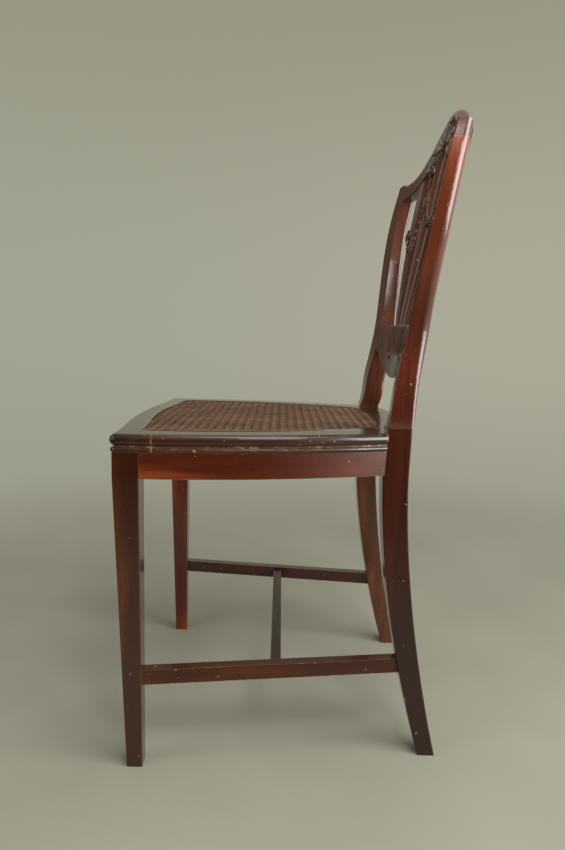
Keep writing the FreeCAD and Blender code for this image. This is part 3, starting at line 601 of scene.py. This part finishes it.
def strand(origin, direction, width, lift):
    """Rings of a ribbon with a crowned top: at a distance d along it, it is lift(d) above the weave."""
    ends = clip_to_outline(origin, direction)
    if ends is None or ends[1] - ends[0] < CANE_PITCH:
        return None
    count = int((ends[1] - ends[0]) / (CANE_PITCH / STEPS_PER_PITCH)) + 2
    along = np.linspace(ends[0], ends[1], count)
    middle = origin + along[:, None] * direction
    across = np.array([-direction[1], direction[0]]) * width / 2
    height = weave_level + lift(along)
    left = np.column_stack([middle + across, height])
    crown = np.column_stack([middle, height + STRAND_THICK / 2])
    right = np.column_stack([middle - across, height])
    under = np.column_stack([middle, height - STRAND_THICK / 2])
    return np.stack([left, under, right, crown], axis=1)


beside_middle = np.array(seat_middle[:2]) + CANE_PITCH / 2
level_strand = strand(beside_middle, np.array([1.0, 0.0]), width=2 * MM, lift=np.zeros_like)
print("a strand beside the middle has", len(level_strand), "rings")

# %% [markdown]
# ## Over and under
# In each pair one strand goes over where the other goes under, and the crossing pairs answer them, which
# locks the sheet. A maker threads them one by one. Here the height of a strand is a wave along it, so
# over and under come from the sign in front of one cosine. The diagonals lie nearer the top.

# %% All strands of the weave
PAIR_APART = 3.7 * MM
STRAND_WIDTH = 2.4 * MM
DIAGONAL_WIDTH = 2.6 * MM
WEAVE_LIFT = 0.42 * MM
SET_APART = 0.2 * MM
DIAGONAL_LIFT = 0.8 * WEAVE_LIFT
DIAGONAL_LEVELS = (0.42 * MM, 0.1 * MM)
WEAVE_REACH = 0.4
TONE_SEED = 7
turn_rate = math.pi / (CANE_PITCH / 2)


def pair_lift(first_sign, level):
    """A pair's heights at a distance d: level + sign * lift * cos(rate * (d + pitch / 4))."""
    def lift_of(index, which):
        sign = first_sign if which == 0 else -first_sign
        return lambda along: level + sign * WEAVE_LIFT * np.cos(turn_rate * (along + CANE_PITCH / 4))
    return lift_of


def diagonal_lift(level):
    """A diagonal's heights: level + lift * sin(rate * d / sqrt 2), turned over from strand to strand."""
    return lambda index, which: lambda along: level + DIAGONAL_LIFT * np.sin(
        turn_rate * along / math.sqrt(2) + index * math.pi)


def weave_set(angle, spacing, offsets, width, lift_of):
    """All strands at one angle: lines a spacing apart, each with a few side offsets."""
    direction = np.array([math.cos(angle), math.sin(angle)])
    normal = np.array([-direction[1], direction[0]])
    reach = int(WEAVE_REACH / spacing)
    centre = np.array([seat_middle.x, seat_middle.y])
    made = []
    for index in range(-reach, reach + 1):
        for which, offset in enumerate(offsets):
            origin = centre + normal * (index * spacing + offset)
            rings = strand(origin, direction, width, lift_of(index, which))
            if rings is not None:
                made.append(rings)
    return made


def all_strands():
    """Pairs along X and Y, and single strands on both diagonals."""
    half = PAIR_APART / 2
    slant = CANE_PITCH / math.sqrt(2)
    made = weave_set(0, CANE_PITCH, (-half, half), STRAND_WIDTH, pair_lift(1, -SET_APART))
    made += weave_set(math.pi / 2, CANE_PITCH, (-half, half), STRAND_WIDTH, pair_lift(-1, SET_APART))
    for turn, level in zip((1, -1), DIAGONAL_LEVELS):
        made += weave_set(turn * math.pi / 4, slant, (slant / 2,), DIAGONAL_WIDTH, diagonal_lift(level))
    return made


strands = all_strands()
cane_points, cane_faces = joined_tubes(strands)
strand_shades = np.random.default_rng(TONE_SEED).random(len(strands))
cane_tones = np.repeat(strand_shades, [rings.shape[0] * rings.shape[1] for rings in strands])
print("cane strands", len(strands), "faces", len(cane_faces))

# %% [markdown]
# ## Aged cane
# Split cane is the shiny skin of the rattan, darkened here by age and varnish, and no two strands have
# quite the same brown. One colour for all would look printed. Each strand carries its own tone as a
# value on its points, and fine noise adds fibres and dirt.

# %% The cane's finish
TONE_WEIGHT = 0.45
FIBRE_WEIGHT = 0.35
DIRT_WEIGHT = 0.35


def aged_cane(name):
    """Split cane, darkened by varnish: each strand has its own tone, with fine fibres and dirt over it."""
    material, tree = new_material(name)
    place = add(tree, "TexCoord").outputs["Object"]
    tone = add(tree, "Attribute", attribute_name="tone").outputs["Fac"]
    fibre = add(tree, "TexNoise", {"Vector": place, "Scale": 700.0, "Detail": 2.0}).outputs["Fac"]
    dirt = add(tree, "TexNoise", {"Vector": place, "Scale": 24.0, "Detail": 3.0}).outputs["Fac"]
    mixed = weighted_sum(tree, (tone, TONE_WEIGHT), (fibre, FIBRE_WEIGHT), (dirt, DIRT_WEIGHT))
    colour = ramp(tree, mixed, [(0.25, "#2a170e"), (0.5, "#4b2f1e"), (0.8, "#7a5638")])
    shader = add(tree, "BsdfPrincipled", {"Base Color": colour, "Roughness": 0.36,
                                          "Normal": bump(tree, fibre, strength=0.2, depth=0.2),
                                          "Coat Weight": 0.35, "Coat Roughness": 0.2})
    add(tree, "OutputMaterial", {"Surface": shader.outputs["BSDF"]})
    return material


woven_cane = make_piece("woven_cane", cane_points, cane_faces, aged_cane("aged_cane"), cane_tones)
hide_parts("cane_panel")
print("cane points", len(cane_points))

# %% [markdown]
# ## The face under the carving
# The front of the shield is hollow from side to side and leans back, and the carving follows it. A carver
# lowers the ground and leaves the ornament. Cutting the CAD pieces is not wanted here, so closed forms
# are laid on the face instead, which gives the same relief. The face is found with rays from the front,
# then fitted with a smooth formula, so that forms can cross the open gaps between the ribs.

# %% The curved face of the shield
CARVED_PIECES = ("crest_rail", "shield_base")
RAY_START = 1.0
RAY_COLUMNS = 41
RAY_ROWS = 25
WITHIN_ENDS = 0.9
FACING_FRONT = -0.8


def face_terms(x, z):
    """The terms of the fitted face: 1, z, z^2, z^3, x^2, x^4 and x^2 z."""
    return np.stack([np.ones_like(x), z, z ** 2, z ** 3, x ** 2, x ** 4, x ** 2 * z], axis=-1)


def face_hits():
    """Points where level rays from the front meet the crest and the base."""
    found = []
    for name in CARVED_PIECES:
        tree = search_tree(name)
        low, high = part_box(name)
        for x in np.linspace(low.x * WITHIN_ENDS, high.x * WITHIN_ENDS, RAY_COLUMNS):
            for z in np.linspace(low.z, high.z, RAY_ROWS):
                hit, normal = tree.ray_cast(Vector((x, -RAY_START, z)), Vector((0, 1, 0)))[:2]
                if hit and normal.y < FACING_FRONT:
                    found.append(tuple(hit))
    return np.array(found)


hits = face_hits()
hit_terms = face_terms(hits[:, 0], hits[:, 2])
face_fit = np.linalg.lstsq(hit_terms, hits[:, 1], rcond=None)[0]
misfit = np.abs(hit_terms @ face_fit - hits[:, 1]).max()
print("face points", len(hits), "largest misfit in mm", round(float(misfit / MM), 2))

# %% [markdown]
# ## Forms on the face
# Leaves, reeds and husks are all a rounded section carried along a curve on the face, and rosettes and
# the discs of painted shade are turned forms. Each could be sculpted, but a formula for its width and
# height keeps the forms crisp, and three corners are enough to draw another one.

# %% A section carried along a curve on the face
SECTION_POINTS = 14
EMBED = 1.2 * MM
section_angles = np.linspace(0, 2 * np.pi, SECTION_POINTS, endpoint=False)


def on_face(across, above, proud):
    """Points at x = across and z = above that stand proud of the fitted face towards the front."""
    return np.stack([across, face_terms(across, above) @ face_fit - proud, above], axis=-1)


def facing_outward(rings):
    """The rings with their columns turned so that the faces look outward along the path."""
    middle = len(rings) // 2
    ring = rings[middle]
    turn = np.cross(ring - ring.mean(axis=0), np.roll(ring, -1, axis=0) - ring.mean(axis=0)).sum(axis=0)
    along = rings[middle].mean(axis=0) - rings[middle - 1].mean(axis=0)
    return rings if turn @ along > 0 else rings[:, ::-1]


def curve_points(corners, rows):
    """A quadratic curve a (1 - t)^2 + 2 b t (1 - t) + c t^2, and its unit sideways direction."""
    first, middle, last = (np.array(corner) * MM for corner in corners)
    t = np.linspace(0, 1, rows)[:, None]
    path = first * (1 - t) ** 2 + 2 * middle * t * (1 - t) + last * t ** 2
    along = 2 * (middle - first) * (1 - t) + 2 * (last - middle) * t
    along /= np.linalg.norm(along, axis=1, keepdims=True)
    return path, np.stack([-along[:, 1], along[:, 0]], axis=-1)


def carried_along(corners, half, rise, behind):
    """Rings half * cos(a) to the side and rise * sin(a) proud, or EMBED * sin(a) where that is behind."""
    path, sideways = curve_points(corners, len(half))
    lateral = half[:, None] * np.cos(section_angles)
    out = np.where(np.sin(section_angles) > 0, rise, EMBED) * np.sin(section_angles) - behind
    across = path[:, 0][:, None] + sideways[:, 0][:, None] * lateral
    above = path[:, 1][:, None] + sideways[:, 1][:, None] * lateral
    return facing_outward(on_face(across, above, out))


print("points in a section", len(section_angles))

# %% [markdown]
# ## Leaf, reed and boss
# A leaf swells and narrows with lobes along its edge and a sunk vein down its middle. A reed is a half
# round that dies away at its end, as a gouge leaves it. A boss is a turned form, such as a rosette. All
# three could be one form with many settings, but three short formulas are easier to follow.

# %% Leaves, reeds and bosses
LEAF_ROWS = 26
LEAF_ENDS = (0.02, 0.98)
LOBE_DEPTH = 0.28
VEIN_HEIGHT = 0.62
FLANK_HEIGHT = 0.608
BOSS_COLUMNS = 28


def blade(corners, width, relief, lobes, behind=0.0, rows=LEAF_ROWS):
    """A leaf of half width w sin(pi t^0.8) (1 + 0.28 cos(2 pi lobes t)), with a sunk middle vein."""
    t = np.linspace(*LEAF_ENDS, rows)
    swell = np.sin(np.pi * t ** 0.8)
    half = width * MM * swell * (1 + LOBE_DEPTH * np.cos(2 * np.pi * lobes * t))
    rise = relief * MM * np.sqrt(swell)
    vein = VEIN_HEIGHT + FLANK_HEIGHT * np.abs(np.cos(section_angles))
    return carried_along(corners, half, rise[:, None] * vein, behind)


def reed(corners, start_half, end_half, relief, behind=0.0, rows=LEAF_ROWS):
    """A half round of half width s + (e - s) t. Its height is relief min(1, 5 (1.02 - t), 8 (t + 0.04))."""
    t = np.linspace(0, 1, rows)
    half = MM * (start_half + (end_half - start_half) * t)
    rise = relief * MM * np.minimum(1, (1.02 - t) * 5) * np.minimum(1, (t + 0.04) * 8)
    return carried_along(corners, half, rise[:, None], behind)


def boss(centre, profile):
    """A turned form on the face, from pairs of radius and height: rings about the centre, rim first."""
    turn = np.linspace(0, 2 * np.pi, BOSS_COLUMNS, endpoint=False)
    radii, heights = (np.array(values) * MM for values in zip(*profile))
    across = centre[0] * MM + radii[:, None] * np.cos(turn)
    above = centre[1] * MM + radii[:, None] * np.sin(turn)
    return facing_outward(on_face(across, above, np.repeat(heights[:, None], BOSS_COLUMNS, axis=1)))


print("a leaf has", LEAF_ROWS, "rings, and a ring of a boss has", BOSS_COLUMNS, "points")

# %% [markdown]
# ## Leafage and rosettes
# The crest has leaves that spread from its middle and curl down beside two rosettes, and smaller leaves
# lie on the ribs below. A carver draws one side and turns the pattern over for the other, and so does
# this cell. A leaf is written as the three corners of its curve, its half width, its relief and its lobes.

# %% The ornament, one side drawn and the other mirrored
# Corners in millimetres: across from the middle, and above the floor
CENTRE_LEAF = (((0, 904), (0, 922), (0, 940)), 6.4, 3.8, 5)
CREST_LEAVES = [
    (((3, 903), (16, 926), (30, 933)), 4.6, 3.4, 4), (((6, 900), (28, 912), (50, 922)), 5.0, 3.6, 5),
    (((10, 898), (34, 899), (68, 914)), 5.0, 3.4, 5), (((44, 900), (60, 906), (84, 901)), 4.2, 3.0, 4),
    (((14, 893), (34, 884), (49, 877)), 4.4, 3.2, 4), (((58, 877), (68, 888), (86, 890)), 4.4, 3.2, 4),
    (((56, 880), (50, 892), (34, 908)), 3.8, 3.0, 3), (((60, 874), (74, 878), (96, 880)), 3.6, 2.8, 3),
]
RIB_LEAVES = [
    (((55, 866), (56, 852), (57, 838)), 4.6, 3.6, 3), (((52, 834), (46, 822), (48, 812)), 4.0, 3.4, 2),
    (((60, 834), (70, 826), (74, 812)), 4.0, 3.4, 2), (((57, 832), (59, 820), (59, 806)), 4.2, 3.8, 2),
    (((112, 786), (108, 776), (110, 764)), 3.8, 3.2, 2), (((116, 786), (124, 778), (123, 766)), 3.6, 3.2, 2),
]
RIB_BEHIND = 2.2 * MM
ROSETTE_ACROSS = 53
ROSETTE_ABOVE = 871
# Pairs of radius and height, from the rim to the middle
ROSETTE = [(9.0, -1.2), (9.4, 0.8), (8.6, 2.6), (7.2, 3.2), (6.2, 2.2), (5.4, 1.6), (4.6, 2.8), (3.2, 4.2),
           (1.6, 4.9), (0.3, 5.0)]


def mirrored(corners):
    """The same corners on the other side."""
    return tuple((-x, z) for x, z in corners)


def both_sides(leaves, behind=0.0):
    """Each leaf of a list and its mirror image."""
    return [blade(shape, width, relief, lobes, behind)
            for corners, width, relief, lobes in leaves for shape in (corners, mirrored(corners))]


leafage = [blade(*CENTRE_LEAF)] + both_sides(CREST_LEAVES)
rib_leafage = both_sides(RIB_LEAVES, RIB_BEHIND)
rosettes = [boss((side * ROSETTE_ACROSS, ROSETTE_ABOVE), ROSETTE) for side in (-1, 1)]
print("leaves", len(leafage) + len(rib_leafage), "rosettes", len(rosettes))

# %% [markdown]
# ## Swags of husks
# Husks, small bell-shaped leaves, hang over the ribs in swags, threaded on a cord, and are largest in
# the middle of each swag. They could be copies of one modelled husk, each turned by hand. A leaf at every
# step of a curve turns with the curve by itself, so that is how they are made.

# %% Husks threaded on a curve
SIDE_SWAG = ((58, 828), (86, 700), (118, 784))
SIDE_HUSKS = 13
MIDDLE_SWAG = ((57, 826), (0, 734), (-57, 826))
MIDDLE_HUSKS = 17
HUSK_LENGTH = 9.0
HUSK_HALF = 4.8
HUSK_RELIEF = 4.2
HUSK_LOBES = 2
HUSK_ROWS = 14
MIDDLE_SIZE = 1.25
SIZE_LOST = 0.4
CORD_HALF = 1.7
CORD_RELIEF = 2.2
CORD_ROWS = 40


def husks(corners, count):
    """Husks that face along a curve, of size 1.25 - 0.4 |s| where s runs from -1 to 1 along it."""
    path, sideways = curve_points(corners, count)
    forms = []
    for place, side, share in zip(path / MM, sideways, np.linspace(-1, 1, count)):
        along = np.array([side[1], -side[0]])
        size = MIDDLE_SIZE - SIZE_LOST * abs(share)
        reach = along * HUSK_LENGTH / 2 * size
        forms.append(blade((place - reach, place, place + reach), HUSK_HALF * size, HUSK_RELIEF * size,
                           HUSK_LOBES, RIB_BEHIND, HUSK_ROWS))
    return forms


swags = []
cords = []
for corners, count in ((SIDE_SWAG, SIDE_HUSKS), (mirrored(SIDE_SWAG), SIDE_HUSKS),
                       (MIDDLE_SWAG, MIDDLE_HUSKS)):
    swags += husks(corners, count)
    cords.append(reed(corners, CORD_HALF, CORD_HALF, CORD_RELIEF, RIB_BEHIND, CORD_ROWS))
print("husks", len(swags), "cords", len(cords))

# %% [markdown]
# ## Reeds on the base
# Three reeds run down from each rib into the base and close in on each other, and five more fan in from
# either shoulder. Every reed could be drawn on its own. They all follow one rule instead, a start, a bend
# and an end that move by an even step, so a loop draws them.

# %% Reeds that run from the ribs and the shoulders into the base
RIB_STARTS = (-53.0, -26.5, 0.0, 26.5, 53.0)
# For each corner: its height, the share of the rib's distance from the middle, and the step between reeds
RIB_REED_CORNERS = ((618.6, 1.0, 5.3), (598.0, 0.8, 3.8), (571.0, 0.62, 2.9))
# For each corner: its height, the innermost reed's distance from the middle, and the step between reeds
SHOULDER_REED_CORNERS = ((618.6, 69, 10.5), (596, 69, 6.8), (575, 54, 3.6))
SHOULDER_REEDS = 5
# Half width at the start and at the end, and relief
RIB_REED = (2.4, 1.3, 1.8)
SHOULDER_REED = (3.6, 1.5, 2.0)
# Two nearly black discs of painted shade, where the base has shadowed hollows
HOLLOW_SHADE_ACROSS = 47
HOLLOW_SHADE_ABOVE = 567
HOLLOW_SHADE_DISC = [(4.2, -1.2), (4.2, 0.3), (3.4, 0.8), (1.8, 1.0), (0.3, 1.0)]

base_reeds = []
for start in RIB_STARTS:
    for number in (-1, 0, 1):
        corners = [(start * share + step * number, above) for above, share, step in RIB_REED_CORNERS]
        base_reeds.append(reed(corners, *RIB_REED))
for number in range(SHOULDER_REEDS):
    corners = [(innermost + step * number, above) for above, innermost, step in SHOULDER_REED_CORNERS]
    base_reeds += [reed(shape, *SHOULDER_REED) for shape in (corners, mirrored(corners))]
hollow_shade_discs = [boss((side * HOLLOW_SHADE_ACROSS, HOLLOW_SHADE_ABOVE), HOLLOW_SHADE_DISC) for side in (-1, 1)]
print("reeds on the base", len(base_reeds), "hollow_shade_discs", len(hollow_shade_discs))

# %% [markdown]
# ## The finish of the carving
# Carved wood is stained and varnished, its edges paler by wear and painted highlight and chipped more.
# A finish of its own could be mixed for it, but the same mahogany with other wear does. Two nearly
# black, dull discs are painted shade where the base has shadowed hollows. Each group of forms becomes one
# piece.

# %% Finish and pieces of the carving
def painted_hollow_shade(name):
    """Painted shade for a shadowed hollow: nearly black, and dull."""
    material, tree = new_material(name)
    place = add(tree, "TexCoord").outputs["Object"]
    shade_mottle = add(tree, "TexNoise", {"Vector": place, "Scale": 400.0, "Detail": 3.0}).outputs["Fac"]
    colour = ramp(tree, shade_mottle, [(0.35, "#120b07"), (0.7, "#2a1d14")])
    shader = add(tree, "BsdfPrincipled", {"Base Color": colour, "Roughness": 0.85,
                                          "Specular IOR Level": 0.15})
    add(tree, "OutputMaterial", {"Surface": shader.outputs["BSDF"]})
    return material


carved = mahogany("mahogany_carved", "upright", "brown", seed=31.0, chips=1.0)
hollow = painted_hollow_shade("painted_shade_in_hollows")
base_carved = mahogany("mahogany_base_reeds", "upright", "brown", seed=37.0, chips=0.5)
carving = {
    "crest_leafage": (leafage + rosettes, carved), "rib_leafage": (rib_leafage, carved),
    "husk_swags": (swags + cords, carved), "base_reeds": (base_reeds, base_carved),
    "base_hollow_shades": (hollow_shade_discs, hollow),
}
for name, (forms, material) in carving.items():
    points, faces = joined_tubes(forms)
    make_piece(name, points, faces, material)
    print(name, len(faces), "faces")

# %% [markdown]
# ## The floor
# The chair stands on plain studio paper that runs into a plain background. A curved backdrop would do
# that from one side only. A wide flat floor serves all sides: near the chair it is a matt surface that
# takes the shadows, and further away it turns clear, so that the background shows and no horizon does.

# %% Studio paper
FLOOR_COLOUR = "#8c8b7a"
FLOOR_MOTTLE = "#838272"
FLOOR_SIZE = 60.0
FADE_START = 0.35
FADE_END = 2.0


def studio_paper(name):
    """Matt paper that turns clear with distance: the share is a smooth step from 0.35 m to 2 m."""
    material, tree = new_material(name)
    place = add(tree, "TexCoord").outputs["Object"]
    away = add(tree, "VectorMath", {0: place}, operation="LENGTH").outputs["Value"]
    share = smooth_step(tree, away, FADE_START, FADE_END)
    mottle = add(tree, "TexNoise", {"Vector": place, "Scale": 3.0, "Detail": 2.0}).outputs["Fac"]
    colour = ramp(tree, mottle, [(0.3, FLOOR_MOTTLE), (0.7, FLOOR_COLOUR)])
    near = add(tree, "BsdfPrincipled", {"Base Color": colour, "Roughness": 0.7}).outputs["BSDF"]
    far = add(tree, "BsdfTransparent").outputs["BSDF"]
    both = add(tree, "MixShader", {0: share, 1: near, 2: far}).outputs["Shader"]
    add(tree, "OutputMaterial", {"Surface": both})
    return material


def make_floor():
    """A wide square on the ground."""
    half = FLOOR_SIZE / 2
    corners = [(-half, -half, 0), (half, -half, 0), (half, half, 0), (-half, half, 0)]
    mesh = bpy.data.meshes.new("studio_floor")
    mesh.from_pydata(corners, [], [(0, 1, 2, 3)])
    mesh.materials.append(studio_paper("studio_paper"))
    floor = bpy.data.objects.new("studio_floor", mesh)
    bpy.context.scene.collection.objects.link(floor)
    return floor


floor = make_floor()
print("floor", round(floor.dimensions.x, 1), "m wide")

# %% [markdown]
# ## The background
# In a studio the eye sees a grey-green wall, while the varnish mirrors the whole room: dark behind the
# camera, brown towards the front, and pale beyond the back of the chair. One plain colour would leave
# the wood flat. The world gives the wall to the camera, the room to gloss by direction, and a soft even
# fill to everything else.

# %% The world
WALL_LEFT = "#a2a391"
WALL_RIGHT = "#aca997"
WALL_TOP = "#959380"
WALL_FOOT = "#9b9a88"
FRONT_SIDE = "#746253"
DARK_ROOM = "#241f1a"
CEILING = "#a5978c"
BRIGHT_SIDE = "#f2e4d6"
FILL_COLOUR = "#d6d6cc"
FILL_STRENGTH = 0.48
# For each step: a part of the direction, where the next colour starts and is full, and that colour
WALL_STEPS = (("Y", -0.4, 0.4, WALL_RIGHT), ("Z", 0.05, 0.55, WALL_TOP), ("Z", 0.0, -0.3, WALL_FOOT))
ROOM_STEPS = (("Y", -0.15, -0.5, FRONT_SIDE), ("X", -0.3, 0.5, DARK_ROOM), ("Z", 0.28, 0.6, CEILING),
              ("Y", 0.25, 0.85, BRIGHT_SIDE))


def coloured_by_direction(tree, colour, steps):
    """A colour that turns into the next one, step after step, with the direction of the ray."""
    way = add(tree, "SeparateXYZ", {0: add(tree, "TexCoord").outputs["Generated"]}).outputs
    for part, start, end, next_colour in steps:
        colour = mix_colour(tree, smooth_step(tree, way[part], start, end), colour, linear(next_colour))
    return colour


def background(tree, colour, strength=1.0):
    """Light of one colour from everywhere."""
    return add(tree, "Background", {"Color": colour, "Strength": strength}).outputs["Background"]


def make_world():
    """The wall for the camera, the mirrored room for gloss, and a softer fill for everything else."""
    world = bpy.data.worlds.new("studio")
    world.use_nodes = True
    tree = world.node_tree
    tree.nodes.clear()
    rays = add(tree, "LightPath").outputs
    seen = calculate(tree, "MAXIMUM", rays["Is Camera Ray"], rays["Is Glossy Ray"])
    shown = calculate(tree, "MAXIMUM", seen, rays["Is Transmission Ray"])
    wall = coloured_by_direction(tree, linear(WALL_LEFT), WALL_STEPS)
    room = coloured_by_direction(tree, wall, ROOM_STEPS)
    fill = background(tree, linear(FILL_COLOUR), FILL_STRENGTH)
    backdrop = add(tree, "MixShader", {0: rays["Is Camera Ray"], 1: background(tree, room),
                                       2: background(tree, wall)}).outputs["Shader"]
    both = add(tree, "MixShader", {0: shown, 1: fill, 2: backdrop}).outputs["Shader"]
    add(tree, "OutputWorld", {"Surface": both})
    bpy.context.scene.world = world
    return world


world = make_world()
print("world nodes", len(world.node_tree.nodes))

# %% [markdown]
# ## The lights
# The photograph has soft light from above the camera and a wide pale light from the right, which runs
# down the far stile's inner face, with weaker light from the top and the front. A sun lamp would cut hard
# shadows. Area lights are soft, and the key is kept out of the varnish, where it would glare.

# %% Five soft boxes
def soft_box(name, place, aim, width, height, power, mirrored_in_varnish=True):
    """A rectangular area light that faces a point, and shows in the varnish or not."""
    data = bpy.data.lights.new(name, "AREA")
    data.shape = "RECTANGLE"
    data.size = width
    data.size_y = height
    data.energy = power
    lamp = bpy.data.objects.new(name, data)
    lamp.location = place
    lamp.visible_glossy = mirrored_in_varnish
    lamp.rotation_euler = (Vector(aim) - Vector(place)).to_track_quat("-Z", "Y").to_euler()
    bpy.context.scene.collection.objects.link(lamp)
    return lamp


chair_middle = (0, 0, seat_top)
soft_box("key_above_camera", place=(1.55, 0.34, 1.66), aim=(0, 0.15, 0.55), width=0.55, height=0.5,
         power=14, mirrored_in_varnish=False)
soft_box("top_light", place=(0.3, 0.3, 2.8), aim=chair_middle, width=1.2, height=1.2, power=19)
soft_box("small_box_above", place=(1.5, 0.54, 2.15), aim=(-0.15, 0.2, 0.7), width=0.56, height=0.44,
         power=8)
soft_box("wall_of_light", place=(1.25, 2.05, 1.05), aim=(0.15, 0.15, 0.6), width=1.9, height=1.9,
         power=100)
soft_box("fill_from_front", place=(1.2, -2.0, 1.3), aim=chair_middle, width=1.2, height=1.8, power=15)
print("lights", len(bpy.data.lights))
